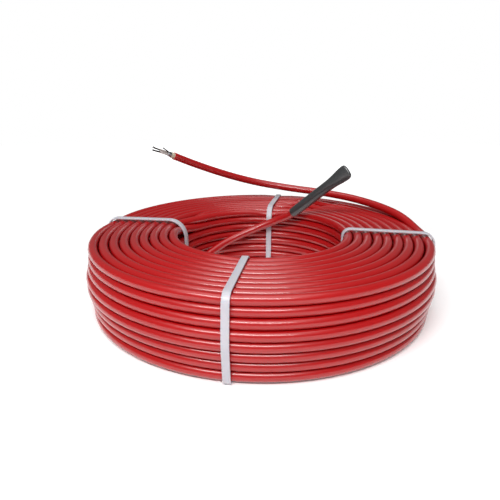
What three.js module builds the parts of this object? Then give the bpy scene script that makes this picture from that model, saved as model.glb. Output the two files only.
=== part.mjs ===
// Strapped coil of two-conductor heating cable, lying flat, with both ends of the cable free.
// Millimetres, +Z up. The floor is z = 0 and the coil's axis is x = 0, y = 0.
// Row 0 is the bottom row of turns and layer 0 is the innermost layer.

import * as THREE from "three";

// Cable and the way it is wound
const CABLE_D = 7.0; // over the red jacket
const LAYERS = 9; // turns across the ring
const ROWS = 8; // turns up the ring
const OUTER_TURN_R = 132.0; // centreline of the outermost turn of the top row
const LAYER_PITCH = 7.6; // from one layer to the next
const ROW_PITCH = 7.0; // the rows rest on each other
const BULGE = 3.5; // how far the middle rows of the outer wall belly out
const BULGE_ROWS = 1.8; // how many rows the belly spreads over

// Straps
const STRAP_W = 5.0;
const STRAP_T = 1.0;
const STRAP_DEG = { front: -98, right: -4.5, back: 83, left: 166 };

// Heat-shrink seal on the inner end
const SEAL_LENGTH = 65.0;
const SEAL_D = 9.8; // over the sleeve
const SEAL_MOUTH_D = 8.4; // where it grips the cable
const SEAL_TIP_W = 14.0; // pressed flat at the tip
const SEAL_TIP_T = 3.6;

// Stripped outer end
const SHEATH_D = 5.6;
const SHEATH_LENGTH = 4.0;
const SCREEN_D = 4.9;
const SCREEN_LENGTH = 4.2;
const CORE_D = 2.0;
const CORE_LENGTH = 8.5;
const CONDUCTOR_D = 1.1;
const CONDUCTOR_LENGTH = 6.5;
const DRAIN_D = 0.9;
const DRAIN_LENGTH = 8.0;

const GAP = 0.3; // between neighbouring pieces
const RING_SEGMENTS = 40;
const CABLE_SIDES = 10;
const WIRE_SIDES = 8;
const VALLEY_DEG = 76; // where one turn's surface gives way to the next one's

// Places that follow from the sizes above
const CABLE_R = CABLE_D / 2;
const BOTTOM_Z = STRAP_T + GAP + CABLE_R;
const TOP_Z = BOTTOM_Z + (ROWS - 1) * ROW_PITCH;
const INNER_TURN_R = OUTER_TURN_R - (LAYERS - 1) * LAYER_PITCH;
const FACET_SAG = (INNER_TURN_R - CABLE_R) * (1 - Math.cos(Math.PI / RING_SEGMENTS));

// Centreline of the outer tail, from the right strap round the back to the stripped end:
// degrees round the axis, distance inside the outermost turn and height over the top row
const OUTER_TAIL = [
  [2, 0.5, 7.4],
  [8, 2.0, 7.6],
  [15, 4.0, 8.2],
  [30, 7.0, 10.1],
  [43, 10.0, 12.3],
  [59, 13.0, 14.2],
  [74, 15.3, 16.3],
  [90, 19.5, 21.6],
  [101.5, 21.8, 27.4],
  [114.4, 23.9, 35.7],
  [127.8, 25.0, 45.4],
  [139.7, 24.9, 54.5],
];

// Centreline of the inner tail, from the foot of the bore up to the seal:
// degrees round the axis, distance inside the innermost turn and height over the bottom row
const INNER_TAIL = [
  [243, 7.9, 0.2],
  [222, 8.2, 0.2],
  [200, 8.6, 1.4],
  [184, 9.0, 3.8],
  [166, 9.3, 8.4],
  [150, 9.3, 13.4],
  [135.7, 9.2, 18.6],
  [118, 9.2, 25.8],
  [97, 9.2, 34.1],
  [76.4, 9.2, 43.8],
  [64.1, 10.4, 50.1],
  [58.9, 10.7, 54.5],
];

// Which way the flat side of the seal's tip looks
const SEAL_FACING = new THREE.Vector3(-0.35, -0.9, 0.25);

const FINISHES = {
  jacket: { color: 0xb5292d, roughness: 0.48, metalness: 0.0 },
  strap: { color: 0xdedbdd, roughness: 0.42, metalness: 0.0 },
  seal: { color: 0x2b2e2e, roughness: 0.5, metalness: 0.0 },
  sheath: { color: 0xe6dcc6, roughness: 0.55, metalness: 0.0 },
  screen: { color: 0x9a9a9c, roughness: 0.35, metalness: 0.85 },
  core: { color: 0xe2d5cf, roughness: 0.5, metalness: 0.0 },
  wire: { color: 0x4a3d38, roughness: 0.45, metalness: 0.8 },
};

/** A named mesh with its own material. */
function piece(name, geometry, finish) {
  const mesh = new THREE.Mesh(geometry, new THREE.MeshStandardMaterial(FINISHES[finish]));
  mesh.name = name;
  return mesh;
}

/** Height of a row's centreline. */
function rowZ(row) {
  return BOTTOM_Z + row * ROW_PITCH;
}

/** Centreline radius of a row in the outer wall. */
function outerR(row) {
  const away = (row - (ROWS - 1) / 2) / BULGE_ROWS;
  return OUTER_TURN_R + BULGE * Math.exp(-away * away);
}

/** Point on a turn's section, at an angle in the plane of radius and height. */
function onTurn(radius, height, degrees, reach = CABLE_R) {
  const angle = THREE.MathUtils.degToRad(degrees);
  return new THREE.Vector2(radius + reach * Math.cos(angle), height + reach * Math.sin(angle));
}

/** Section of the ring: one arc per turn that shows, anticlockwise from the foot of the bore. */
function ringProfile() {
  const points = [];
  const bump = (radius, height, facing) => {
    for (const share of [-1, -0.5, 0, 0.5, 1]) {
      points.push(onTurn(radius, height, facing + share * VALLEY_DEG));
    }
  };
  const corner = (radius, height, facing) => {
    for (const share of [-1, -0.5, 0]) {
      points.push(onTurn(radius, height, facing + share * VALLEY_DEG));
    }
    points.push(onTurn(radius, height, facing + 45));
    for (const share of [0, 0.5, 1]) {
      points.push(onTurn(radius, height, facing + 90 + share * VALLEY_DEG));
    }
  };
  corner(INNER_TURN_R, BOTTOM_Z, 180);
  for (let layer = 1; layer < LAYERS - 1; layer += 1) {
    bump(INNER_TURN_R + layer * LAYER_PITCH, BOTTOM_Z, 270);
  }
  corner(outerR(0), BOTTOM_Z, 270);
  for (let row = 1; row < ROWS - 1; row += 1) {
    bump(outerR(row), rowZ(row), 0);
  }
  corner(outerR(ROWS - 1), TOP_Z, 0);
  for (let layer = LAYERS - 2; layer > 0; layer -= 1) {
    bump(INNER_TURN_R + layer * LAYER_PITCH, TOP_Z, 90);
  }
  corner(INNER_TURN_R, TOP_Z, 90);
  for (let row = ROWS - 2; row > 0; row -= 1) {
    bump(INNER_TURN_R, rowZ(row), 180);
  }
  points.push(points[0].clone());
  return points;
}

/** The wound turns as one ring with its bore. */
function coil() {
  const geometry = new THREE.LatheGeometry(ringProfile(), RING_SEGMENTS);
  geometry.rotateX(Math.PI / 2);
  return piece("cable_coil", geometry, "jacket");
}

/** Closed line round the ring's section, a given distance off the turns. */
function strapLine(offset) {
  const reach = CABLE_R + offset;
  const bore = INNER_TURN_R - FACET_SAG;
  const points = [];
  const corner = (radius, height, from) => {
    for (let step = 0; step <= 5; step += 1) {
      points.push(onTurn(radius, height, from + step * 18, reach));
    }
  };
  corner(bore, BOTTOM_Z, 180);
  corner(outerR(0), BOTTOM_Z, 270);
  for (let row = 1; row < ROWS - 1; row += 1) {
    points.push(onTurn(outerR(row), rowZ(row), 0, reach));
  }
  corner(outerR(ROWS - 1), TOP_Z, 0);
  corner(bore, TOP_Z, 90);
  return points;
}

/** A strap drawn tight round the ring at one azimuth. */
function strap(side) {
  const band = new THREE.Shape(strapLine(GAP + STRAP_T));
  band.holes.push(new THREE.Path(strapLine(GAP)));
  const geometry = new THREE.ExtrudeGeometry(band, { depth: STRAP_W, bevelEnabled: false });
  geometry.rotateX(Math.PI / 2);
  geometry.translate(0, STRAP_W / 2, 0);
  geometry.rotateZ(THREE.MathUtils.degToRad(STRAP_DEG[side]));
  return piece(`strap_${side}`, geometry, "strap");
}

/** Round bar of a given diameter swept along a curve. */
function bar(curve, diameter, sides, steps) {
  const section = new THREE.Shape();
  for (let side = 0; side < sides; side += 1) {
    const at = onTurn(0, 0, (360 * side) / sides, diameter / 2);
    if (side === 0) {
      section.moveTo(at.x, at.y);
    } else {
      section.lineTo(at.x, at.y);
    }
  }
  section.closePath();
  return new THREE.ExtrudeGeometry(section, { steps, extrudePath: curve, bevelEnabled: false });
}

/** Smooth curve through a list of [degrees, inset, rise] taken from one turn of the coil. */
function route(points, turnR, turnZ) {
  const places = points.map(([degrees, inset, rise]) => {
    const at = onTurn(0, 0, degrees, turnR - inset);
    return new THREE.Vector3(at.x, at.y, turnZ + rise);
  });
  return new THREE.CatmullRomCurve3(places);
}

/** Centreline of the free outer end. */
function outerRoute() {
  return route(OUTER_TAIL, OUTER_TURN_R, TOP_Z);
}

/** Centreline of the free inner end. */
function innerRoute() {
  return route(INNER_TAIL, INNER_TURN_R, BOTTOM_Z);
}

/** Where a curve ends, with the directions along it, sideways and up. */
function endFrame(curve) {
  const along = curve.getTangent(1).normalize();
  const side = new THREE.Vector3().crossVectors(along, new THREE.Vector3(0, 0, 1)).normalize();
  const up = new THREE.Vector3().crossVectors(side, along).normalize();
  return { origin: curve.getPoint(1), along, side, up };
}

/** A place given by distances along, sideways and up from the end of a curve. */
function fromEnd(frame, along, side = 0, up = 0) {
  return frame.origin
    .clone()
    .addScaledVector(frame.along, along)
    .addScaledVector(frame.side, side)
    .addScaledVector(frame.up, up);
}

/** A tail of the cable along its route. */
function tail(name, curve, steps) {
  return piece(name, bar(curve, CABLE_D, CABLE_SIDES, steps), "jacket");
}

/** A straight round piece of the stripped end. */
function stripped(name, frame, start, length, diameter, finish, side = 0, up = 0) {
  const line = new THREE.LineCurve3(
    fromEnd(frame, start, side, up),
    fromEnd(frame, start + length, side, up),
  );
  const sides = diameter > 4 ? CABLE_SIDES : WIRE_SIDES;
  return piece(name, bar(line, diameter, sides, 1), finish);
}

/** The stripped end: inner sheath, screen, two cores with bare conductors, and the drain wire. */
function strippedEnd() {
  const frame = endFrame(outerRoute());
  const sheathAt = GAP;
  const screenAt = sheathAt + SHEATH_LENGTH + GAP;
  const coreAt = screenAt + SCREEN_LENGTH + GAP;
  const conductorAt = coreAt + CORE_LENGTH + GAP;
  const apart = (CORE_D + GAP) / 2;
  const drainUp = (CORE_D + DRAIN_D) / 2 + GAP;
  return [
    stripped("inner_sheath", frame, sheathAt, SHEATH_LENGTH, SHEATH_D, "sheath"),
    stripped("screen", frame, screenAt, SCREEN_LENGTH, SCREEN_D, "screen"),
    stripped("core_a", frame, coreAt, CORE_LENGTH, CORE_D, "core", apart),
    stripped("core_b", frame, coreAt, CORE_LENGTH, CORE_D, "core", -apart),
    stripped("conductor_a", frame, conductorAt, CONDUCTOR_LENGTH, CONDUCTOR_D, "wire", apart),
    stripped("conductor_b", frame, conductorAt, CONDUCTOR_LENGTH, CONDUCTOR_D, "wire", -apart),
    stripped("drain_wire", frame, coreAt, DRAIN_LENGTH, DRAIN_D, "wire", 0, drainUp),
  ];
}

/** The seal: a sleeve that grips the cable at its mouth and is pressed flat at its tip. */
function endSeal() {
  const frame = endFrame(innerRoute());
  const wide = new THREE.Vector3().crossVectors(SEAL_FACING, frame.along).normalize();
  const facing = new THREE.Vector3().crossVectors(frame.along, wide).normalize();
  const stations = [
    [0.0, SEAL_MOUTH_D, SEAL_MOUTH_D],
    [0.05, SEAL_D, SEAL_D],
    [0.5, SEAL_D, SEAL_D],
    [0.66, (SEAL_D + SEAL_TIP_W) / 2, (SEAL_D + SEAL_TIP_T) / 2],
    [0.82, SEAL_TIP_W, SEAL_TIP_T],
    [1.0, SEAL_TIP_W, SEAL_TIP_T],
  ];
  const sides = 16;
  const places = [];
  const faces = [];
  for (const [share, width, thickness] of stations) {
    const centre = fromEnd(frame, GAP + share * SEAL_LENGTH);
    for (let side = 0; side < sides; side += 1) {
      const angle = (2 * Math.PI * side) / sides;
      const at = centre
        .clone()
        .addScaledVector(wide, (Math.cos(angle) * width) / 2)
        .addScaledVector(facing, (Math.sin(angle) * thickness) / 2);
      places.push(...at.toArray());
    }
  }
  for (let ring = 0; ring < stations.length - 1; ring += 1) {
    for (let side = 0; side < sides; side += 1) {
      const a = ring * sides + side;
      const b = ring * sides + ((side + 1) % sides);
      faces.push(a, b, b + sides, a, b + sides, a + sides);
    }
  }
  const last = (stations.length - 1) * sides;
  for (let side = 1; side < sides - 1; side += 1) {
    faces.push(0, side + 1, side, last, last + side, last + side + 1);
  }
  const geometry = new THREE.BufferGeometry();
  geometry.setAttribute("position", new THREE.Float32BufferAttribute(places, 3));
  geometry.setIndex(faces);
  geometry.computeVertexNormals();
  return piece("end_seal", geometry, "seal");
}

const heatingCable = new THREE.Group();
heatingCable.name = "heating_cable";
heatingCable.add(coil());
for (const side of Object.keys(STRAP_DEG)) {
  heatingCable.add(strap(side));
}
heatingCable.add(tail("outer_tail", outerRoute(), 24));
heatingCable.add(...strippedEnd());
heatingCable.add(tail("inner_tail", innerRoute(), 22));
heatingCable.add(endSeal());

export default heatingCable;
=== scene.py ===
"""Strapped coil of two-conductor heating cable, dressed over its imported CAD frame.

Lengths are in metres and angles in radians unless a name says otherwise. The floor is z = 0 and
the coil's axis is x = 0, y = 0. Azimuth runs anticlockwise from +X, seen from above. Layer 0 is
the innermost layer of turns and row 0 is the bottom row.
"""

import logging
import math
from abc import ABC, abstractmethod
from collections.abc import Sequence
from dataclasses import dataclass, field
from enum import Enum
from functools import cache
from typing import ClassVar

import bmesh
import bpy
from mathutils import Matrix, Vector


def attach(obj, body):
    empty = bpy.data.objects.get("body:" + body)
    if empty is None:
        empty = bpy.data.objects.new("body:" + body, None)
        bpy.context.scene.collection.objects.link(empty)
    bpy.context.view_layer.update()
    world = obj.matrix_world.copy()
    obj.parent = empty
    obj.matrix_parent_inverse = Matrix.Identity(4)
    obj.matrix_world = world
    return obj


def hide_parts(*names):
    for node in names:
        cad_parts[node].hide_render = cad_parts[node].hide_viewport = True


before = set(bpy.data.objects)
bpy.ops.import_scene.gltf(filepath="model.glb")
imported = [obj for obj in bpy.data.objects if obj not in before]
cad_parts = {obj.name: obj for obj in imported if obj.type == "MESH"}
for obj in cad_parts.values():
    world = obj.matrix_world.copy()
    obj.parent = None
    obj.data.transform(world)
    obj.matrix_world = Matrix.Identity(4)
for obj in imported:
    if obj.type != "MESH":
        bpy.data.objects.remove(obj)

Piece = bpy.types.Object
Tree = bpy.types.NodeTree
Socket = bpy.types.NodeSocket
Mesh = bmesh.types.BMesh
Vert = bmesh.types.BMVert
Edge = bmesh.types.BMEdge
Table = tuple[tuple[float, float, float], ...]
LOG = logging.getLogger("heating_cable")
MM = 0.001
UP = Vector((0.0, 0.0, 1.0))
WHITE = (1.0, 1.0, 1.0, 1.0)


# ---- Helpers ----


def linear(srgb: str) -> tuple[float, float, float, float]:
    """Turn an sRGB hex colour into Blender's linear colour.

    Args:
        srgb: a hash and six hex digits.

    Returns:
        Red, green, blue and an alpha of 1.
    """
    channels = [int(srgb[at : at + 2], 16) / 255 for at in (1, 3, 5)]
    red, green, blue = [
        value / 12.92 if value <= 0.04045 else ((value + 0.055) / 1.055) ** 2.4
        for value in channels
    ]
    return red, green, blue, 1.0


def add_node(
    tree: Tree,
    kind: str,
    settings: dict[str, object] | None = None,
    inputs: dict[str | int, object] | None = None,
) -> bpy.types.Node:
    """Add a shader node with its settings, values and links.

    Args:
        tree: the material's node tree.
        kind: the node's type name.
        settings: the node's own properties.
        inputs: for each input socket, a value or the output socket to link from.

    Returns:
        The new node.
    """
    node = tree.nodes.new(kind)
    for name, value in (settings or {}).items():
        setattr(node, name, value)
    for socket, value in (inputs or {}).items():
        if isinstance(value, Socket):
            tree.links.new(value, node.inputs[socket])
        else:
            node.inputs[socket].default_value = value
    return node


def smooth(share: float) -> float:
    """Ease from 0 to 1 with level ends."""
    held = min(max(share, 0.0), 1.0)
    return held * held * (3.0 - 2.0 * held)


def around(azimuth: float, radius: float, height: float) -> Vector:
    """Point at an azimuth, a distance from the axis and a height."""
    return Vector((radius * math.cos(azimuth), radius * math.sin(azimuth), height))


def scene_object(name: str, data: bpy.types.ID) -> bpy.types.Object:
    """Put an object into the scene, at the origin.

    Args:
        name: the object's name.
        data: its mesh, curve, light or camera.

    Returns:
        The new object.
    """
    made = bpy.data.objects.new(name, data)
    bpy.context.collection.objects.link(made)
    return made


def mesh_piece(name: str, bm: Mesh) -> Piece:
    """Turn a bmesh into a smooth-shaded object in the scene.

    Args:
        name: the piece's name.
        bm: the finished bmesh, which is freed.

    Returns:
        The new object.
    """
    mesh = bpy.data.meshes.new(name)
    bm.to_mesh(mesh)
    bm.free()
    mesh.shade_smooth()
    return scene_object(name, mesh)


def extrude_ring(
    bm: Mesh, ring: Sequence[Vert], edges: Sequence[Edge]
) -> tuple[list[Vert], list[Edge]]:
    """Extrude a closed ring of edges in place.

    Args:
        bm: the bmesh.
        ring: the ring's verts, in order.
        edges: the ring's edges.

    Returns:
        The new ring's verts, in the same order, and its edges.
    """
    grown = bmesh.ops.extrude_edge_only(bm, edges=edges)["geom"]
    new = {part for part in grown if isinstance(part, Vert)}
    verts = [
        next(edge.other_vert(vert) for edge in vert.link_edges if edge.other_vert(vert) in new)
        for vert in ring
    ]
    return verts, [edge for edge in grown if isinstance(edge, Edge) and new.issuperset(edge.verts)]


def round_bar(name: str, lines: Sequence[Sequence[Vector]], radius: float, rings: int) -> Piece:
    """Make round bars that follow lines of points, as one curve object.

    Args:
        name: the piece's name.
        lines: for each bar, the points of its centreline.
        radius: the bars' radius.
        rings: Blender's bevel resolution; the section has 4 + 2 * rings sides.

    Returns:
        The new curve object.
    """
    curve = bpy.data.curves.new(name, "CURVE")
    curve.dimensions = "3D"
    curve.twist_mode = "MINIMUM"
    curve.bevel_depth = radius
    curve.bevel_resolution = rings
    curve.use_fill_caps = True
    for line in lines:
        spline = curve.splines.new("POLY")
        spline.points.add(len(line) - 1)
        spline.points.foreach_set("co", [value for at in line for value in (*at, 1.0)])
        spline.use_smooth = True
    return scene_object(name, curve)


def spline_points(knots: Sequence[Vector], step: float) -> list[Vector]:
    """Sample the smooth curve through a list of points.

    Args:
        knots: the points that the curve passes through.
        step: the spacing wanted between samples.

    Returns:
        The samples, with both ends.
    """
    run = [knots[0] * 2 - knots[1], *knots, knots[-1] * 2 - knots[-2]]
    samples: list[Vector] = []
    for at in range(1, len(run) - 2):
        before, start, end, after = run[at - 1 : at + 3]
        spans = [max((b - a).length, 1e-9) ** 0.5 for a, b in
                 ((before, start), (start, end), (end, after))]
        leave = ((start - before) / spans[0] - (end - before) / (spans[0] + spans[1])
                 + (end - start) / spans[1]) * spans[1]
        arrive = ((end - start) / spans[1] - (after - start) / (spans[1] + spans[2])
                  + (after - end) / spans[2]) * spans[1]
        count = max(2, round((end - start).length / step))
        for tick in range(count):
            share = tick / count
            samples.append(
                start * (2 * share**3 - 3 * share**2 + 1)
                + leave * (share**3 - 2 * share**2 + share)
                + end * (3 * share**2 - 2 * share**3)
                + arrive * (share**3 - share**2)
            )
    samples.append(knots[-1].copy())
    return samples


def length_of(line: Sequence[Vector]) -> float:
    """Length of a line of points."""
    return sum((b - a).length for a, b in zip(line, line[1:]))


@dataclass(frozen=True)
class EndFrame:
    """Where a line ends, with the directions along it, sideways and up."""

    origin: Vector
    along: Vector
    side: Vector
    up: Vector

    @classmethod
    def of(cls, line: Sequence[Vector]) -> "EndFrame":
        """Frame at the last point of a line.

        Args:
            line: the points of the line.

        Returns:
            The frame, with its side level.
        """
        along = (line[-1] - line[-2]).normalized()
        side = along.cross(UP).normalized()
        return cls(line[-1].copy(), along, side, side.cross(along).normalized())

    def at(self, along: float, side: float = 0.0, up: float = 0.0) -> Vector:
        """Place by distances along, sideways and up from the end."""
        return self.origin + self.along * along + self.side * side + self.up * up

    def matrix(self, along: float = 0.0) -> Matrix:
        """Transform that puts local X sideways, Y up and Z along, at a distance along."""
        axes = Matrix((self.side, self.up, self.along)).transposed().to_4x4()
        return Matrix.Translation(self.at(along)) @ axes


# ---- Finishes ----


@dataclass(frozen=True)
class Finish(ABC):
    """A surface with faint patches of shade and gloss, and a fine relief.

    Attributes:
        name: what the real material is.
        colour: the usual colour, sRGB hex.
        patch: the colour in its darker patches, sRGB hex.
        patch_mm: how wide a patch is.
        roughness: low and high roughness, which follow the patches.
        relief_mm: how wide a grain of the relief is, or how far apart its creases are.
        relief_depth_mm: how deep the relief is.
        patch_detail: how many finer layers of noise the patches have.
        patch_span: the noise's values between which the roughness runs.
    """

    name: str
    colour: str
    patch: str
    patch_mm: float
    roughness: tuple[float, float]
    relief_mm: float
    relief_depth_mm: float
    patch_detail: ClassVar[float] = 3.0
    patch_span: ClassVar[tuple[float, float]] = (0.3, 0.7)

    @abstractmethod
    def relief(self, tree: Tree, place: Socket) -> Socket:
        """Add the relief's pattern.

        Args:
            tree: the material's node tree.
            place: the place on the piece.

        Returns:
            The socket with the relief's height.
        """

    @abstractmethod
    def set_body(self, shader: bpy.types.Node) -> None:
        """Set what is the same all over the surface.

        Args:
            shader: the material's shader.
        """

    def make(self) -> bpy.types.Material:
        """Build the material.

        Returns:
            The new material.
        """
        material = bpy.data.materials.new(self.name)
        material.use_nodes = True
        tree = material.node_tree
        shader = tree.nodes["Principled BSDF"]
        place = add_node(tree, "ShaderNodeTexCoord").outputs["Object"]
        scale = 1 / (self.patch_mm * MM)
        patches = add_node(
            tree,
            "ShaderNodeTexNoise",
            inputs={"Vector": place, "Scale": scale, "Detail": self.patch_detail},
        ).outputs["Fac"]
        # the mix node's sockets 6 and 7 are its two colours, and its output 2 is their blend
        blend = add_node(
            tree,
            "ShaderNodeMix",
            {"data_type": "RGBA"},
            {0: patches, 6: linear(self.colour), 7: linear(self.patch)},
        )
        span, (low, high) = self.patch_span, self.roughness
        gloss = add_node(
            tree,
            "ShaderNodeMapRange",
            inputs={"Value": patches, "From Min": span[0], "From Max": span[1],
                    "To Min": low, "To Max": high},
        )
        height, depth = self.relief(tree, place), self.relief_depth_mm * MM
        bump = add_node(
            tree,
            "ShaderNodeBump",
            inputs={"Height": height, "Distance": depth, "Strength": 1.0},
        )
        tree.links.new(blend.outputs[2], shader.inputs["Base Color"])
        tree.links.new(gloss.outputs["Result"], shader.inputs["Roughness"])
        tree.links.new(bump.outputs["Normal"], shader.inputs["Normal"])
        self.set_body(shader)
        return material


@dataclass(frozen=True)
class Extrusion(Finish):
    """A plastic skin or moulding with a fine grain.

    Attributes:
        ior: refractive index.
        scatter: share of light that passes under the surface.
        skin: share of the surface that has the slick skin of a hot die or a melted surface.
        skin_roughness: roughness of that skin.
        scatter_depth: how far the light travels under the surface.
    """

    ior: float = 1.5
    scatter: float = 0.0
    skin: float = 0.0
    skin_roughness: float = 0.2
    scatter_depth: ClassVar[float] = 0.6 * MM

    def relief(self, tree: Tree, place: Socket) -> Socket:
        """Add the grain.

        Args:
            tree: the material's node tree.
            place: the place on the piece.

        Returns:
            The socket with the grain's height.
        """
        return add_node(
            tree,
            "ShaderNodeTexNoise",
            inputs={"Vector": place, "Scale": 1 / (self.relief_mm * MM), "Detail": 2.0},
        ).outputs["Fac"]

    def set_body(self, shader: bpy.types.Node) -> None:
        """Set the refraction, the scatter and the skin.

        Args:
            shader: the material's shader.
        """
        shader.inputs["IOR"].default_value = self.ior
        if self.scatter:
            shader.inputs["Subsurface Weight"].default_value = self.scatter
            shader.inputs["Subsurface Scale"].default_value = self.scatter_depth
        if self.skin:
            shader.inputs["Coat Weight"].default_value = self.skin
            shader.inputs["Coat Roughness"].default_value = self.skin_roughness


@dataclass(frozen=True)
class Metal(Finish):
    """A bare metal skin or wire, dull in patches, with creases or scratches."""

    patch_detail: ClassVar[float] = 4.0

    def relief(self, tree: Tree, place: Socket) -> Socket:
        """Add the creases.

        Args:
            tree: the material's node tree.
            place: the place on the piece.

        Returns:
            The socket with the creases' height.
        """
        return add_node(
            tree,
            "ShaderNodeTexVoronoi",
            {"feature": "DISTANCE_TO_EDGE"},
            {"Vector": place, "Scale": 1 / (self.relief_mm * MM)},
        ).outputs["Distance"]

    def set_body(self, shader: bpy.types.Node) -> None:
        """Make it metal."""
        shader.inputs["Metallic"].default_value = 1.0


class FinishKind(Enum):
    """The finishes on the object, each with the slot of the record that it belongs to."""

    # Extruded PVC jacket: saturated red and satin, with the slick skin that the die leaves,
    # which draws a soft whitish streak along each turn.
    JACKET = "jacket", Extrusion(
        "extruded_pvc", "#AA0509", "#A00407", 34.0, (0.28, 0.35), 1.6, 0.008,
        skin=0.5, skin_roughness=0.19,
    )
    # Extruded polypropylene band: cool milky white, slightly see-through, with a low gloss.
    STRAP = "strap", Extrusion(
        "extruded_polypropylene", "#BEBCC3", "#B4B2B9", 9.0, (0.32, 0.42), 0.9, 0.03,
        ior=1.49, scatter=0.15,
    )
    # Shrunk polyolefin sleeve: dark grey, matt to satin, with a slick skin melted by the heat.
    SEAL = "end_seal", Extrusion(
        "shrunk_polyolefin", "#343637", "#2B2D2E", 7.0, (0.32, 0.44), 1.2, 0.05,
        skin=1.0, skin_roughness=0.26,
    )
    # Extruded inner sheath: cream, dull where the jacket was pulled off it.
    SHEATH = "inner_sheath", Extrusion(
        "extruded_inner_sheath", "#C4B9A4", "#B3A791", 2.5, (0.5, 0.62), 0.8, 0.04
    )
    # Wrapped aluminium foil: grey, creased across the cable, dull in patches.
    SCREEN = "screen", Metal(
        "wrapped_aluminium_foil", "#B4B4B6", "#85858A", 1.6, (0.28, 0.5), 1.1, 0.12
    )
    # Silicone-rubber core insulation: off-white, matt, with a faint bloom.
    CORE = "core", Extrusion(
        "silicone_insulation", "#C0BAB6", "#A9A29D", 2.2, (0.5, 0.6), 0.7, 0.03
    )
    # Resistance-alloy wire: dark, oxidised, each strand with a thin bright edge.
    WIRE = "conductor", Metal(
        "resistance_alloy_wire", "#3E3531", "#241F1D", 1.2, (0.35, 0.5), 0.8, 0.04
    )

    def __init__(self, slot: str, recipe: Finish) -> None:
        """Keep the slot and the recipe by name."""
        self.slot = slot
        self.recipe = recipe


@cache
def finish_of(kind: FinishKind) -> bpy.types.Material:
    """The material of a finish, made once."""
    return kind.recipe.make()


def seat(piece: Piece, kind: FinishKind, node: str) -> Piece:
    """Dress a piece, tie it to the frame and report it.

    Args:
        piece: the piece, at the origin.
        kind: its finish.
        node: the CAD node that it stands for.

    Returns:
        The same piece.
    """
    piece.data.materials.append(finish_of(kind))
    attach(piece, "root")
    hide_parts(node)
    LOG.info("%s stands for %s", piece.name, node)
    return piece


# ---- The cable ----


@dataclass(frozen=True)
class Winding:
    """Sizes of the cable and of the way it is wound, as the CAD has them.

    Attributes:
        cable_r: radius of the cable over its jacket.
        layers: how many layers of turns there are.
        rows: how many turns lie over each other in a layer.
        outer_turn_r: centreline radius of the outermost layer.
        layer_pitch: distance from layer to layer.
        row_pitch: distance from row to row.
        bottom_z: height of the bottom row's centreline.
        bulge: how far the outermost layer bellies out.
        bulge_rows: how many rows to either side that belly reaches.
    """

    cable_r: float = 3.5 * MM
    layers: int = 9
    rows: int = 8
    outer_turn_r: float = 132.0 * MM
    layer_pitch: float = 7.6 * MM
    row_pitch: float = 7.0 * MM
    bottom_z: float = 4.8 * MM
    bulge: float = 3.5 * MM
    bulge_rows: float = 1.8

    @property
    def inner_turn_r(self) -> float:
        """Centreline radius of the innermost layer."""
        return self.outer_turn_r - (self.layers - 1) * self.layer_pitch

    @property
    def top_z(self) -> float:
        """Height of the top row's centreline."""
        return self.row_z(self.rows - 1)

    def row_z(self, row: int) -> float:
        """Height of a row's centreline."""
        return self.bottom_z + row * self.row_pitch

    def turn_r(self, layer: int, row: int) -> float:
        """Centreline radius of a turn; the outermost layer bellies out at its middle rows.

        Args:
            layer: the turn's layer.
            row: the turn's row.

        Returns:
            The radius.
        """
        radius = self.inner_turn_r + layer * self.layer_pitch
        if layer == self.layers - 1:
            away = (row - (self.rows - 1) / 2) / self.bulge_rows
            radius += self.bulge * math.exp(-away * away)
        return radius


class Side(Enum):
    """Where a strap goes round the coil, seen from the photograph's side."""

    FRONT = "front"
    RIGHT = "right"
    BACK = "back"
    LEFT = "left"


@dataclass(frozen=True)
class StrapFit:
    """How one strap lies on the coil.

    Attributes:
        side: which strap it is.
        inner_deg: azimuth where it runs down the bore.
        outer_deg: azimuth where it runs down the outside.
        crown: how far its top lies over the tops of the turns, at its middle line.
        inner_bend: corner radius at the bore's upper edge.
        outer_bend: corner radius at the outer upper edge.
        stand_off: how far it stands off the outer wall, at its middle line.
        inner_press: how far it presses in the turn at the bore's upper edge.
        outer_press: how far it presses in the turn at the outer upper edge.
        inner_run: length of cable over which the inner press fades.
        outer_run: length of cable over which the outer press fades.
        lean: how much further off the coil its clockwise edge stands.
    """

    side: Side
    inner_deg: float
    outer_deg: float
    crown: float = 0.8 * MM
    inner_bend: float = 6.5 * MM
    outer_bend: float = 6.5 * MM
    stand_off: float = 0.9 * MM
    inner_press: float = 0.9 * MM
    outer_press: float = 0.9 * MM
    inner_run: float = 8.0 * MM
    outer_run: float = 9.0 * MM
    lean: float = 0.0

    def azimuth_at(self, radius: float, winding: Winding) -> float:
        """Find where the strap crosses a radius.

        Args:
            radius: distance from the axis.
            winding: the sizes.

        Returns:
            The azimuth, in degrees.
        """
        span = winding.outer_turn_r - winding.inner_turn_r
        share = (radius - winding.inner_turn_r) / span
        return self.inner_deg + (self.outer_deg - self.inner_deg) * min(max(share, 0.0), 1.0)


STRAP_FITS: tuple[StrapFit, ...] = (
    StrapFit(Side.FRONT, -98.0, -98.0, outer_bend=7.0 * MM),
    StrapFit(
        Side.RIGHT, -3.5, -6.8, crown=1.9 * MM, outer_bend=9.0 * MM, stand_off=1.7 * MM,
        outer_press=0.6 * MM,
    ),
    StrapFit(
        Side.BACK, 83.0, 81.4, crown=1.9 * MM, inner_bend=14.0 * MM, inner_press=3.2 * MM,
        inner_run=14.0 * MM,
    ),
    StrapFit(
        Side.LEFT, 164.8, 168.6, crown=2.1 * MM, inner_bend=15.0 * MM, outer_bend=9.0 * MM,
        inner_press=3.4 * MM, inner_run=17.0 * MM, outer_run=22.0 * MM, lean=0.3 * MM,
    ),
)


@dataclass(frozen=True)
class Step:
    """A place where the cable steps from one turn to the next.

    Attributes:
        centre: total angle wound, in the middle of the step.
        half: angle from there to the step's ends.
        rise: how much higher the next turn lies.
        shift: how much further out the next turn lies.
    """

    centre: float
    half: float
    rise: float
    shift: float


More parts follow.
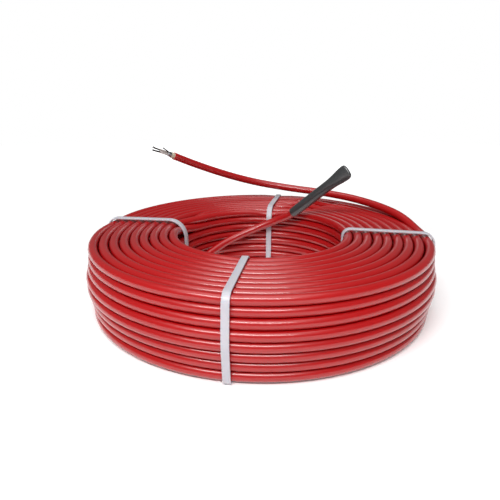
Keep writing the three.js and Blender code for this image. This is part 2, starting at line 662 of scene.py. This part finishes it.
@dataclass
class CableCoil:
    """The wound turns: nine layers of eight rows, laid as one length of cable.

    Attributes:
        winding: the sizes.
        start_deg: azimuth where the inner tail meets the first turn.
        end_deg: azimuth where the last turn becomes the outer tail.
        step_run: length of cable over which it steps to the next turn.
        pair_deg: azimuth of the step across the top, for each pair of layers and the last one.
        drift_deg: how far round each lower row of the innermost layer steps later.
        fits: the straps, which press the turns under their corners in.
        lift: how much higher the outer turns lie at the back, where the cable leaves them.
        lift_deg: azimuth in the middle of that rise.
        lift_power: how steeply that rise falls off to its sides.
        press_spread: how far a press reaches through the section.
        press_way: shares of a press that go sideways and down.
        wander: how far the cable wanders to either side.
        wander_rates: how fast it wanders, and how far and how fast that phase sways.
        ticks: points for each turn, where it is hidden and where it can be seen.
        rings: fineness of its round section.
    """

    winding: Winding
    start_deg: float = 305.0
    end_deg: float = 355.5
    step_run: float = 37.0 * MM
    pair_deg: tuple[float, ...] = (150.0, 66.0, 63.0, 60.0, 7.5)
    drift_deg: float = 30.0
    fits: tuple[StrapFit, ...] = ()
    lift: float = 1.6 * MM
    lift_deg: float = 86.0
    lift_power: float = 1.5
    press_spread: float = 6.0 * MM
    press_way: tuple[float, float] = (0.6, 0.8)
    wander: float = 0.14 * MM
    wander_rates: tuple[float, float, float] = (2.37, 0.9, 0.61)
    ticks: tuple[int, int] = (40, 110)
    rings: int = 5

    def _steps(self) -> tuple[list[Step], float]:
        """Plan where the cable steps between turns.

        Returns:
            The steps in order, and the total angle where the coil ends.
        """
        w = self.winding
        steps: list[Step] = []
        angle = math.radians(self.start_deg)

        def add(azimuth: float, layer: int, row: int, next_layer: int, next_row: int) -> None:
            """Step at the next pass of an azimuth that leaves room after the last step.

            Args:
                azimuth: where the step is.
                layer: the layer that it leaves.
                row: the row that it leaves.
                next_layer: the layer that it comes to.
                next_row: the row that it comes to.
            """
            nonlocal angle
            turns = math.floor((angle - azimuth) / (2 * math.pi)) + 1
            centre = azimuth + turns * 2 * math.pi
            radius = w.turn_r(layer, row)
            half = self.step_run / radius / 2
            if centre - angle < math.pi / 2:
                centre += 2 * math.pi
            rise = w.row_z(next_row) - w.row_z(row)
            steps.append(Step(centre, half, rise, w.turn_r(next_layer, next_row) - radius))
            angle = centre

        for layer in range(w.layers):
            climbs = layer % 2 == 0
            across = math.radians(self.pair_deg[layer // 2])
            stagger = self.step_run / w.turn_r(layer, 0) / 4
            azimuth = across + stagger if climbs else across - stagger
            order = range(w.rows - 1) if climbs else range(w.rows - 1, 0, -1)
            for row in order:
                later = 0.0 if layer else math.radians(self.drift_deg) * (w.rows - 2 - row)
                add(azimuth + later, layer, row, layer, row + 1 if climbs else row - 1)
            if layer == w.layers - 1:
                break
            if climbs:
                add(across, layer, w.rows - 1, layer + 1, w.rows - 1)
            else:
                beyond = math.radians(self.pair_deg[(layer + 1) // 2])
                add(beyond + 2 * stagger, layer, 0, layer + 1, 0)
        end = math.radians(self.end_deg)
        end += (math.floor((angle - end) / (2 * math.pi)) + 1) * 2 * math.pi
        return steps, end

    def _settled(self, radius: float, height: float, angle: float) -> tuple[float, float]:
        """Move a place in the section: up at the back, and in under the straps' corners.

        Args:
            radius: the place's distance from the axis.
            height: its height.
            angle: total angle wound.

        Returns:
            The radius and the height where it comes to lie.
        """
        w = self.winding
        across = (radius - w.inner_turn_r) / (w.outer_turn_r - w.inner_turn_r)
        away = math.remainder(angle - math.radians(self.lift_deg), 2 * math.pi)
        back = max(math.cos(away), 0.0) ** self.lift_power
        height += self.lift * back * min(max(across, 0.0), 1.0) * height / w.top_z
        for fit in self.fits:
            for corner_r, inward, pull, run in (
                (w.inner_turn_r, 1.0, fit.inner_press, fit.inner_run),
                (w.outer_turn_r, -1.0, fit.outer_press, fit.outer_run),
            ):
                strap_at = math.radians(fit.azimuth_at(corner_r, w))
                arc = math.remainder(angle - strap_at, 2 * math.pi) * corner_r
                off = math.hypot(radius - corner_r, height - w.top_z)
                force = pull * math.exp(-((arc / run) ** 2) - (off / self.press_spread) ** 2)
                radius += inward * force * self.press_way[0]
                height -= force * self.press_way[1]
        return radius, height

    def centreline(self) -> list[Vector]:
        """Lay the cable from the inner tail to the outer tail.

        Returns:
            The points of its centreline.
        """
        w = self.winding
        rate, sway, sway_rate = self.wander_rates
        steps, end = self._steps()
        line: list[Vector] = []
        radius, height = w.turn_r(0, 0), w.row_z(0)
        angle, passed = math.radians(self.start_deg), 0
        while True:
            while passed < len(steps) and angle > steps[passed].centre + steps[passed].half:
                radius += steps[passed].shift
                height += steps[passed].rise
                passed += 1
            at_r, at_z, stepping = radius, height, False
            if passed < len(steps):
                step = steps[passed]
                share = smooth((angle - step.centre + step.half) / (2 * step.half))
                stepping = 0.0 < share < 1.0
                at_r += step.shift * share
                at_z += step.rise * share
            wander = self.wander * math.sin(rate * angle + sway * math.sin(sway_rate * angle))
            at_r, at_z = self._settled(at_r, at_z, angle)
            line.append(around(angle, at_r + wander, at_z))
            if angle >= end:
                return line
            hidden = (
                w.turn_r(1, 0) - w.cable_r < at_r < w.turn_r(w.layers - 2, 0) + w.cable_r
                and w.row_z(1) - w.cable_r < at_z < w.row_z(w.rows - 2) + w.cable_r
            )
            angle = min(angle + 2 * math.pi / self.ticks[stepping or not hidden], end)

    def build(self) -> list[Vector]:
        """Make the wound coil.

        Returns:
            The points of its centreline.
        """
        line = self.centreline()
        coil = round_bar("wound_cable", [line], self.winding.cable_r, self.rings)
        seat(coil, FinishKind.JACKET, "cable_coil")
        LOG.info("the coil holds %.2f m of cable", length_of(line))
        return line


# Routes of the free ends, as the CAD has them: degrees round the axis, then millimetres inside
# the nearest wall turn and above the nearest row. The first points lead out of the coil.
OUTER_ROUTE: Table = (
    (-4.5, 0.0, 0.0), (0.0, 0.0, 0.1), (4.0, 0.1, 0.6), (7.6, 0.5, 1.9), (11.4, 1.3, 3.9),
    (15.0, 2.5, 5.9), (18.7, 3.8, 7.4), (23.0, 5.2, 8.6), (30.0, 7.0, 10.1), (43.0, 10.0, 12.3),
    (59.0, 13.0, 14.2), (74.0, 15.3, 16.3), (90.0, 19.5, 21.6), (101.5, 21.8, 27.4),
    (114.4, 23.9, 35.7), (127.8, 25.0, 45.4), (139.7, 24.9, 54.5),
)
INNER_ROUTE: Table = (
    (305.0, 0.0, 0.0), (297.0, 0.6, 0.0), (290.0, 2.2, 0.0), (283.0, 4.2, 0.1), (277.0, 6.0, 0.1),
    (268.0, 8.6, 0.2), (256.0, 9.8, 0.2), (240.0, 10.0, 0.2), (220.0, 9.8, 0.3),
    (200.0, 9.4, 1.6), (184.0, 9.2, 3.9), (166.0, 9.3, 8.4), (150.0, 9.3, 13.4),
    (135.7, 9.2, 18.6), (118.0, 9.2, 25.8), (97.0, 9.2, 34.1), (76.4, 9.2, 43.8),
    (64.1, 10.4, 50.1), (58.9, 10.7, 54.5),
)


@dataclass
class CableTail:
    """A free end of the cable, from the coil to its last bit of jacket.

    Attributes:
        name: the piece's name.
        node: the CAD node that it stands for.
        winding: the sizes.
        route: degrees, inset and rise of the points that it passes through.
        turn_r: radius that the insets are taken from.
        turn_z: height that the rises are taken from.
        line: its centreline, once it is built.
        step: spacing of the centreline's points.
        rings: fineness of its round section.
    """

    name: str
    node: str
    winding: Winding
    route: Table
    turn_r: float
    turn_z: float
    line: list[Vector] = field(default_factory=list)
    step: float = 2.2 * MM
    rings: int = 6

    def build(self, start: Vector, lead: Vector) -> Piece:
        """Make the tail.

        Args:
            start: the coil's end that it runs on from.
            lead: a point of the coil just before that end, so that the two run on smoothly.

        Returns:
            The tail.
        """
        knots = [
            around(math.radians(degrees), self.turn_r - inset * MM, self.turn_z + rise * MM)
            for degrees, inset, rise in self.route
        ]
        knots[0] = start
        samples = spline_points([lead, *knots], self.step)
        nearest = min(range(len(samples)), key=lambda at: (samples[at] - start).length)
        self.line = samples[nearest:]
        tail = round_bar(self.name, [self.line], self.winding.cable_r, self.rings)
        return seat(tail, FinishKind.JACKET, self.node)

    def declare(self) -> None:
        """Log the tail's length.
        """
        LOG.info("%s measures %.3f m", self.name, length_of(self.line))


# ---- The straps ----


@dataclass
class Strap:
    """A closed band drawn tight round the coil's section.

    Attributes:
        fit: how it lies.
        winding: the sizes.
        width: width of the band.
        thickness: thickness of the band.
        foot_bend: corner radius under the coil.
        belly_bend: radius of its bend over the bulge of the outer wall.
        bore_gap: how far its middle line stands off the bore's wall.
        edge: how far its edges are rounded.
        edge_deg: least angle of an edge that is rounded.
        facet: length of the straight bits round a corner.
        long_bend: radius from which a corner gets no more of them.
    """

    fit: StrapFit
    winding: Winding
    width: float = 5.0 * MM
    thickness: float = 1.4 * MM
    foot_bend: float = 3.0 * MM
    belly_bend: float = 60.0 * MM
    bore_gap: float = 0.7 * MM
    edge: float = 0.35 * MM
    edge_deg: float = 50.0
    facet: float = 0.7 * MM
    long_bend: float = 16.0 * MM

    def _section(self, off: float) -> list[tuple[float, float]]:
        """Radius and height of the points of the band's middle line.

        Args:
            off: how much further off the coil it lies than the fit says.

        Returns:
            The points, anticlockwise from the foot of the bore.
        """
        w, fit = self.winding, self.fit
        rows = w.rows - 1
        foot = self.thickness / 2
        belly_r = w.turn_r(w.layers - 1, rows // 2)
        inner = w.inner_turn_r - w.cable_r - self.bore_gap - off
        outer = w.outer_turn_r + w.cable_r + fit.stand_off + off
        high = w.top_z + w.cable_r + fit.crown + off
        corners = (
            (inner, foot, self.foot_bend),
            (outer, foot, self.foot_bend),
            (belly_r + w.cable_r + fit.stand_off + off, w.top_z / 2 + foot, self.belly_bend),
            (outer, high, fit.outer_bend),
            (inner, high, fit.inner_bend),
        )
        points: list[tuple[float, float]] = []
        for at, (radius, height, bend) in enumerate(corners):
            here = Vector((radius, height))
            back = (Vector(corners[at - 1][:2]) - here).normalized()
            ahead = (Vector(corners[(at + 1) % len(corners)][:2]) - here).normalized()
            half = back.angle(ahead) / 2
            centre = here + (back + ahead).normalized() * (bend / math.sin(half))
            first = here + back * (bend / math.tan(half)) - centre
            turn = (math.pi - 2 * half) * math.copysign(1.0, back.cross(ahead))
            count = max(6, round(min(bend, self.long_bend) / self.facet))
            for tick in range(count + 1):
                spoke = first.copy()
                spoke.rotate(Matrix.Rotation(-turn * tick / count, 2))
                points.append((centre.x + spoke.x, centre.y + spoke.y))
        return points

    def build(self) -> None:
        """Make the strap."""
        side = self.fit.side.value
        bm = bmesh.new()
        loop, across = [], []
        half = self.fit.lean / 2
        for near, far in zip(self._section(half), self._section(-half)):
            azimuth = math.radians(self.fit.azimuth_at(near[0], self.winding))
            sideways = Vector((-math.sin(azimuth), math.cos(azimuth), 0.0)) * self.width
            start = around(azimuth, *near) - sideways / 2
            loop.append(bm.verts.new(start))
            across.append(around(azimuth, *far) + sideways / 2 - start)
        edges = [bm.edges.new((a, b)) for a, b in zip(loop, loop[1:] + loop[:1])]
        for vert, reach in zip(extrude_ring(bm, loop, edges)[0], across):
            vert.co += reach
        strap = mesh_piece(f"band_{side}", bm)
        wall = strap.modifiers.new("band_thickness", "SOLIDIFY")
        wall.thickness = self.thickness
        wall.offset = 0.0
        wall.use_even_offset = True
        rim = strap.modifiers.new("rolled_edges", "BEVEL")
        rim.width = self.edge
        rim.segments = 2
        rim.limit_method = "ANGLE"
        rim.angle_limit = math.radians(self.edge_deg)
        seat(strap, FinishKind.STRAP, f"strap_{side}")


# ---- The end seal ----


@dataclass
class EndSeal:
    """Heat-shrink sleeve on the inner end, round on the cable and pressed flat at its tip.

    Attributes:
        length: its whole length.
        overlap: how far it reaches back over the jacket.
        bore: width of the hole in its mouth.
        mouth_depth: depth of that hole.
        sides: sides of its section, before it is smoothed.
        facing: the way its flat side looks.
        stations: share of the length, and width and thickness in millimetres, of each section.
    """

    length: float = 68.6 * MM
    overlap: float = 2.0 * MM
    bore: float = 7.2 * MM
    mouth_depth: float = 6.0 * MM
    sides: int = 32
    facing: Vector = field(default_factory=lambda: Vector((-0.35, -0.9, 0.25)))
    stations: Table = (
        (0.0, 8.3, 8.3), (0.01, 8.9, 8.9), (0.04, 9.3, 9.3), (0.11, 9.4, 9.4), (0.35, 9.4, 9.3),
        (0.56, 9.3, 9.2), (0.66, 9.3, 8.4), (0.73, 9.8, 7.0), (0.80, 11.0, 5.5),
        (0.87, 12.5, 4.4), (0.93, 13.2, 3.9), (0.968, 12.8, 3.5), (0.988, 11.2, 3.0),
        (1.0, 7.8, 2.2),
    )

    def build(self, end: EndFrame) -> Piece:
        """Make the seal.

        Args:
            end: the end of the inner tail.

        Returns:
            The seal.
        """
        wide = self.facing.cross(end.along).normalized()
        face = end.along.cross(wide).normalized()
        axes = Matrix((wide, face, end.along)).transposed().to_4x4()
        bm = bmesh.new()
        first = bmesh.ops.create_circle(bm, segments=self.sides, radius=0.5)["verts"]
        edges = list(bm.edges)
        circle = [vert.co.copy() for vert in first]

        def lay(ring: list[Vert], width: float, depth: float, along: float) -> None:
            """Move a ring to its section of the sleeve.

            Args:
                ring: the ring's verts, in the order of the first circle.
                width: the section's width.
                depth: the section's thickness.
                along: its distance from the mouth.
            """
            for vert, place in zip(ring, circle):
                vert.co = (place.x * width, place.y * depth, along)

        ring, rim = first, edges
        for number, (share, width, depth) in enumerate(self.stations):
            if number:
                ring, rim = extrude_ring(bm, ring, rim)
            lay(ring, width * MM, depth * MM, share * self.length)
        bmesh.ops.edgeloop_fill(bm, edges=rim)
        ring, rim = first, edges
        for along in (0.0, self.mouth_depth):
            ring, rim = extrude_ring(bm, ring, rim)
            lay(ring, self.bore, self.bore, along)
        bmesh.ops.recalc_face_normals(bm, faces=bm.faces)
        start = end.at(-self.overlap)
        bmesh.ops.transform(bm, matrix=Matrix.Translation(start) @ axes, verts=bm.verts)
        seal = mesh_piece("heat_shrink_seal", bm)
        rounder = seal.modifiers.new("drawn_smooth", "SUBSURF")
        rounder.levels = rounder.render_levels = 1
        return seat(seal, FinishKind.SEAL, "end_seal")


# ---- The stripped end ----


@dataclass
class StrippedEnd:
    """What shows past the jacket of the outer tail: sheath, screen, cores and bare wires.

    Attributes:
        sheath_r: radius of the inner sheath.
        sheath_out: how far the sheath reaches past the jacket, as all that end in `_out` do.
        screen_r: radius of the foil screen.
        screen_out: how far the screen reaches.
        core_r: radius of an insulated core.
        core_out: how far the cores reach.
        wire_out: how far the bare conductors reach.
        drain_out: how far the drain wire reaches.
        strand_r: radius of one strand.
        tuck: how far the sheath starts inside the jacket.
        cut_edge: how far the sheath's cut edge is softened.
        sides: sides of the sheath and of the screen.
        rings: fineness of the round sections of a core and of a strand.
        foil_lap: how far the foil moves on in one turn.
        foil_step: how far one turn of the foil stands over the next.
        foil_ruffle: how far the foil ripples.
        foil_waves: ripples round the cable, and angle that they move on in a metre.
        foil_tuck: how far the foil starts inside the sheath.
        foil_cuts: rings that the foil is cut into.
        crimp: how far the foil's cut edge is pressed in.
        crimp_run: length over which it is pressed in.
        strands: strands of a conductor and of the drain wire.
        fray_run: length over which strands spring apart.
        untwist: share of the twist that is lost there.
        core_step: spacing of a core's points.
        wire_step: spacing of a wire's points.
    """

    sheath_r: float = 2.8 * MM
    sheath_out: float = 3.3 * MM
    screen_r: float = 2.45 * MM
    screen_out: float = 7.2 * MM
    core_r: float = 0.95 * MM
    core_out: float = 16.4 * MM
    wire_out: float = 23.6 * MM
    drain_out: float = 14.6 * MM
    strand_r: float = 0.3 * MM
    tuck: float = 1.5 * MM
    cut_edge: float = 0.3 * MM
    sides: int = 28
    rings: tuple[int, int] = (5, 2)
    foil_lap: float = 2.4 * MM
    foil_step: float = 0.16 * MM
    foil_ruffle: float = 0.05 * MM
    foil_waves: tuple[float, float] = (5.0, 900.0)
    foil_tuck: float = 1.0 * MM
    foil_cuts: int = 14
    crimp: float = 0.5 * MM
    crimp_run: float = 1.6 * MM
    strands: tuple[int, int] = (5, 3)
    fray_run: float = 2.6 * MM
    untwist: float = 0.3
    core_step: float = 0.8 * MM
    wire_step: float = 0.35 * MM

    def build(self, end: EndFrame) -> list[Piece]:
        """Make the stripped end.

        Args:
            end: the end of the outer tail.

        Returns:
            Its pieces.
        """
        pieces = [self._sheath(end), self._screen(end)]
        for letter, above in (("a", 1.0), ("b", -1.0)):
            pieces += self._core(end, letter, above)
        return [*pieces, self._drain(end)]

    def _sleeve(
        self, end: EndFrame, radius: float, start: float, stop: float, rings: int
    ) -> Mesh:
        """Make a closed round sleeve along the end's axis, cut into rings.

        Args:
            end: the end of the outer tail.
            radius: the sleeve's radius.
            start: where it starts, past the jacket.
            stop: where it stops.
            rings: how many rings it is cut into.

        Returns:
            The sleeve's bmesh.
        """
        bm = bmesh.new()
        bmesh.ops.create_cone(
            bm, cap_ends=True, segments=self.sides, radius1=radius, radius2=radius,
            depth=stop - start, matrix=end.matrix((start + stop) / 2),
        )
        for cut in range(1, rings):
            bmesh.ops.bisect_plane(
                bm,
                geom=bm.verts[:] + bm.edges[:] + bm.faces[:],
                plane_co=end.at(start + (stop - start) * cut / rings),
                plane_no=end.along,
            )
        return bm

    def _sheath(self, end: EndFrame) -> Piece:
        """Make the cream inner sheath, with its cut edge softened.

        Args:
            end: the end of the outer tail.

        Returns:
            The sheath.
        """
        bm = self._sleeve(end, self.sheath_r, -self.tuck, self.sheath_out, 1)
        rims = [edge for edge in bm.edges if edge.calc_face_angle(0.0) > math.radians(60)]
        soft = {"offset": self.cut_edge, "segments": 2, "profile": 0.5}
        bmesh.ops.bevel(bm, geom=rims, affect="EDGES", material=-1, **soft)
        return seat(mesh_piece("cut_inner_sheath", bm), FinishKind.SHEATH, "inner_sheath")

    def _screen(self, end: EndFrame) -> Piece:
        """Make the foil screen, wrapped in turns that overlap and crimped at its cut edge.

        Args:
            end: the end of the outer tail.

        Returns:
            The screen.
        """
        start = self.sheath_out - self.foil_tuck
        bm = self._sleeve(end, self.screen_r, start, self.screen_out, self.foil_cuts)
        waves, moving_on = self.foil_waves
        for vert in bm.verts:
            offset = vert.co - end.origin
            along = offset.dot(end.along)
            across = offset - end.along * along
            if across.length < self.screen_r / 2:
                continue
            angle = math.atan2(across.dot(end.up), across.dot(end.side))
            lap = ((along / self.foil_lap) + angle / (2 * math.pi)) % 1.0
            ruffle = self.foil_ruffle * math.sin(waves * angle + moving_on * along)
            crimp = self.crimp * smooth((along - self.screen_out) / self.crimp_run + 1.0)
            size = self.screen_r - self.foil_step * lap + ruffle - crimp
            vert.co = end.at(along) + across.normalized() * size
        return seat(mesh_piece("foil_screen", bm), FinishKind.SCREEN, "screen")

    def _bunch(
        self, line: Sequence[Vector], strands: int, spread: float, lay: float, fray: float
    ) -> list[list[Vector]]:
        """Strands twisted round a line, which spring apart at its end.

        Args:
            line: the wire's centreline.
            strands: how many strands there are.
            spread: distance of each strand from the centreline.
            lay: length of one twist.
            fray: how much further apart the strands are at the very end.

        Returns:
            Each strand's points.
        """
        bunch: list[list[Vector]] = [[] for _ in range(strands)]
        total = length_of(line)
        travelled = 0.0
        for at, point in enumerate(line):
            ahead = line[min(at + 1, len(line) - 1)] - line[max(at - 1, 0)]
            side = ahead.cross(UP).normalized()
            up = side.cross(ahead).normalized()
            if at:
                travelled += (point - line[at - 1]).length
            loose = smooth((travelled - total) / self.fray_run + 1.0)
            for number, strand in enumerate(bunch):
                twist = travelled / lay * (1 - self.untwist * loose)
                angle = 2 * math.pi * (twist + number / strands)
                # each strand springs out by a share of its own, between none and all of the fray
                own = 0.5 + 0.5 * math.sin(2.4 * number + 1.0)
                reach = spread + fray * loose * own
                strand.append(
                    point + side * (reach * math.cos(angle)) + up * (reach * math.sin(angle))
                )
        return bunch

    def _core(self, end: EndFrame, letter: str, above: float) -> list[Piece]:
        """Make one insulated core and its bare conductor.

        Args:
            end: the end of the outer tail.
            letter: the core's letter.
            above: 1 for the upper core and -1 for the lower one.

        Returns:
            The core and the conductor.
        """
        side, up = 0.35 * MM * above, 0.95 * MM * above
        drift = 0.12 * MM * above
        skin = spline_points(
            [
                end.at(self.screen_out - 2.0 * MM, side, up),
                end.at(self.screen_out + 2.0 * MM, side, up),
                end.at(self.screen_out + 6.0 * MM, side, up + drift * 0.2 - 0.1 * MM),
                end.at(self.core_out, side, up + drift * 0.6 - 0.3 * MM),
            ],
            self.core_step,
        )
        core = round_bar(f"insulated_core_{letter}", [skin], self.core_r, self.rings[0])
        tip = EndFrame.of(skin)
        reach = self.wire_out - self.core_out
        wire = spline_points(
            [
                tip.at(-1.0 * MM),
                tip.at(reach * 0.3),
                tip.at(reach * 0.65, 0.1 * MM, 0.5 * drift),
                tip.at(reach, 0.2 * MM, 1.5 * drift + 0.2 * MM),
            ],
            self.wire_step,
        )
        bunch = self._bunch(wire, self.strands[0], 0.46 * MM, 6.0 * MM, 0.5 * MM)
        bare = round_bar(f"bare_conductor_{letter}", bunch, self.strand_r, self.rings[1])
        return [
            seat(core, FinishKind.CORE, f"core_{letter}"),
            seat(bare, FinishKind.WIRE, f"conductor_{letter}"),
        ]

    def _drain(self, end: EndFrame) -> Piece:
        """Make the bare drain wire, which springs up out of the screen's near side.

        Args:
            end: the end of the outer tail.

        Returns:
            The drain wire.
        """
        line = spline_points(
            [
                end.at(self.screen_out - 2.5 * MM, -1.2 * MM, 1.3 * MM),
                end.at(self.screen_out, -1.3 * MM, 1.5 * MM),
                end.at(self.screen_out + 3.0 * MM, -1.4 * MM, 2.3 * MM),
                end.at(self.drain_out, -1.5 * MM, 3.1 * MM),
            ],
            self.wire_step,
        )
        bunch = self._bunch(line, self.strands[1], 0.3 * MM, 4.5 * MM, 0.3 * MM)
        drain = round_bar("bare_drain_wire", bunch, self.strand_r, self.rings[1])
        return seat(drain, FinishKind.WIRE, "drain_wire")


# ---- The studio ----


@dataclass(frozen=True)
class Softbox:
    """A rectangular light that looks at the coil.

    Attributes:
        name: its name.
        place: where it hangs.
        size: its width and height.
        watts: its power.
        aim: the point that it looks at.
    """

    name: str
    place: tuple[float, float, float]
    size: tuple[float, float]
    watts: float
    aim: tuple[float, float, float] = (0.0, 0.0, 0.03)

    def hang(self) -> None:
        """Put it in the scene."""
        data = bpy.data.lights.new(self.name, "AREA")
        data.shape = "RECTANGLE"
        data.size, data.size_y = self.size
        data.energy = self.watts
        light = scene_object(self.name, data)
        light.location = self.place
        way = Vector(self.aim) - Vector(self.place)
        light.rotation_euler = way.to_track_quat("-Z", "Y").to_euler()


@dataclass(frozen=True)
class Studio:
    """Pale floor, soft light and the camera at the photograph's viewing angle.

    Attributes:
        camera_at: where the camera stands.
        pitch_deg: how far it looks down.
        yaw_deg: how far it is turned to the left.
        focal: its focal length, as a share of the frame's width.
        sensor_mm: width of its sensor.
        ambient: strength of the light from all round.
        overhead: strength of the broad light overhead.
        overhead_deg: how wide that light looks from the coil.
        overhead_tilt_deg: how far it is turned about X and about Y.
        softboxes: the smaller lights.
        glow: strength of the floor's own light, near the coil and far from it.
        glow_from: distance from the coil's axis where that light starts to grow.
        glow_to: distance where it is full.
        floor_r: radius of the floor.
        floor_sides: sides of the floor.
    """

    camera_at: tuple[float, float, float] = (0.0, -0.3635, 0.16047)
    pitch_deg: float = 18.483
    yaw_deg: float = 1.346
    focal: float = 456.8 / 500.0
    sensor_mm: float = 36.0
    ambient: float = 0.16
    overhead: float = 1.46
    overhead_deg: float = 60.0
    overhead_tilt_deg: tuple[float, float] = (8.0, -6.0)
    softboxes: tuple[Softbox, ...] = (
        Softbox("back_softbox", (0.16, 1.5, 0.62), (0.4, 0.3), 0.4),
        Softbox("front_softbox", (-0.15, -0.72, 0.80), (0.9, 0.09), 9.8),
    )
    glow: tuple[float, float] = (0.1, 0.9)
    glow_from: float = 0.3
    glow_to: float = 1.0
    floor_r: float = 1.5
    floor_sides: int = 96

    def camera(self) -> None:
        """Make the camera."""
        data = bpy.data.cameras.new("camera")
        data.sensor_width = self.sensor_mm
        data.lens = self.focal * self.sensor_mm
        data.clip_start = 0.01
        camera = scene_object("camera", data)
        camera.location = self.camera_at
        turn_x, turn_z = math.radians(90 - self.pitch_deg), math.radians(self.yaw_deg)
        camera.rotation_euler = (turn_x, 0.0, turn_z)
        bpy.context.scene.camera = camera

    def _overhead(self) -> None:
        """Hang a broad, distant light almost overhead, a little to the front left."""
        data = bpy.data.lights.new("overhead_light", "SUN")
        data.energy = self.overhead
        data.angle = math.radians(self.overhead_deg)
        tilt_x, tilt_y = self.overhead_tilt_deg
        light = scene_object("overhead_light", data)
        light.rotation_euler = (math.radians(tilt_x), math.radians(tilt_y), 0.0)

    def light(self) -> None:
        """Make the lights and the pale surroundings."""
        self._overhead()
        for softbox in self.softboxes:
            softbox.hang()
        world = bpy.data.worlds.new("pale_studio")
        world.use_nodes = True
        tree = world.node_tree
        sky = tree.nodes["Background"]
        sky.inputs["Strength"].default_value = self.ambient
        sky.inputs["Color"].default_value = WHITE
        backdrop = add_node(tree, "ShaderNodeBackground", inputs={"Strength": 1.0, "Color": WHITE})
        seen = add_node(tree, "ShaderNodeLightPath").outputs["Is Camera Ray"]
        shaders = {0: seen, 1: sky.outputs[0], 2: backdrop.outputs[0]}
        both = add_node(tree, "ShaderNodeMixShader", inputs=shaders)
        tree.links.new(both.outputs[0], tree.nodes["World Output"].inputs["Surface"])
        bpy.context.scene.world = world
        bpy.context.scene.view_settings.view_transform = "Standard"

    def floor(self) -> None:
        """Lay the pale floor, a round sheet of matt white acrylic with a painted glow."""
        bm = bmesh.new()
        bmesh.ops.create_circle(bm, cap_ends=True, segments=self.floor_sides, radius=self.floor_r)
        # Matt white acrylic with a painted glow: its own emission grows from faint near the coil
        # to strong far out.
        acrylic = bpy.data.materials.new("white_floor_painted_glow")
        acrylic.use_nodes = True
        tree = acrylic.node_tree
        shader = tree.nodes["Principled BSDF"]
        shader.inputs["Base Color"].default_value = linear("#F8F8F8")
        shader.inputs["Roughness"].default_value = 0.9
        shader.inputs["Emission Color"].default_value = WHITE
        place = add_node(tree, "ShaderNodeTexCoord").outputs["Object"]
        out = add_node(tree, "ShaderNodeVectorMath", {"operation": "LENGTH"}, {0: place})
        # Painted glow: the floor's emission strength rises with distance from the coil's axis.
        near, far = self.glow
        glow = add_node(
            tree,
            "ShaderNodeMapRange",
            inputs={"Value": out.outputs["Value"], "From Min": self.glow_from,
                    "From Max": self.glow_to, "To Min": near, "To Max": far},
        )
        tree.links.new(glow.outputs["Result"], shader.inputs["Emission Strength"])
        sheet = mesh_piece("floor", bm)
        sheet.data.materials.append(acrylic)


def main() -> None:
    """Build the studio, then the cable and everything on it, and measure the result."""
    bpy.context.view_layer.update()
    studio = Studio()
    studio.camera()

    winding = Winding()
    line = CableCoil(winding, fits=STRAP_FITS).build()
    outer = CableTail(
        "outer_free_end", "outer_tail", winding, OUTER_ROUTE, winding.outer_turn_r, winding.top_z
    )
    outer_piece = outer.build(line[-1], line[-4])
    inner = CableTail(
        "inner_free_end", "inner_tail", winding, INNER_ROUTE, winding.inner_turn_r,
        winding.bottom_z,
    )
    inner_piece = inner.build(line[0], line[3])
    stripped = StrippedEnd().build(EndFrame.of(outer.line))
    seal = EndSeal().build(EndFrame.of(inner.line))
    outer.declare()
    inner.declare()

    for fit in STRAP_FITS:
        Strap(fit, winding).build()

    studio.light()
    studio.floor()
    bpy.context.view_layer.update()


if __name__ == "__main__":
    logging.basicConfig(level=logging.INFO, format="%(message)s")
    main()
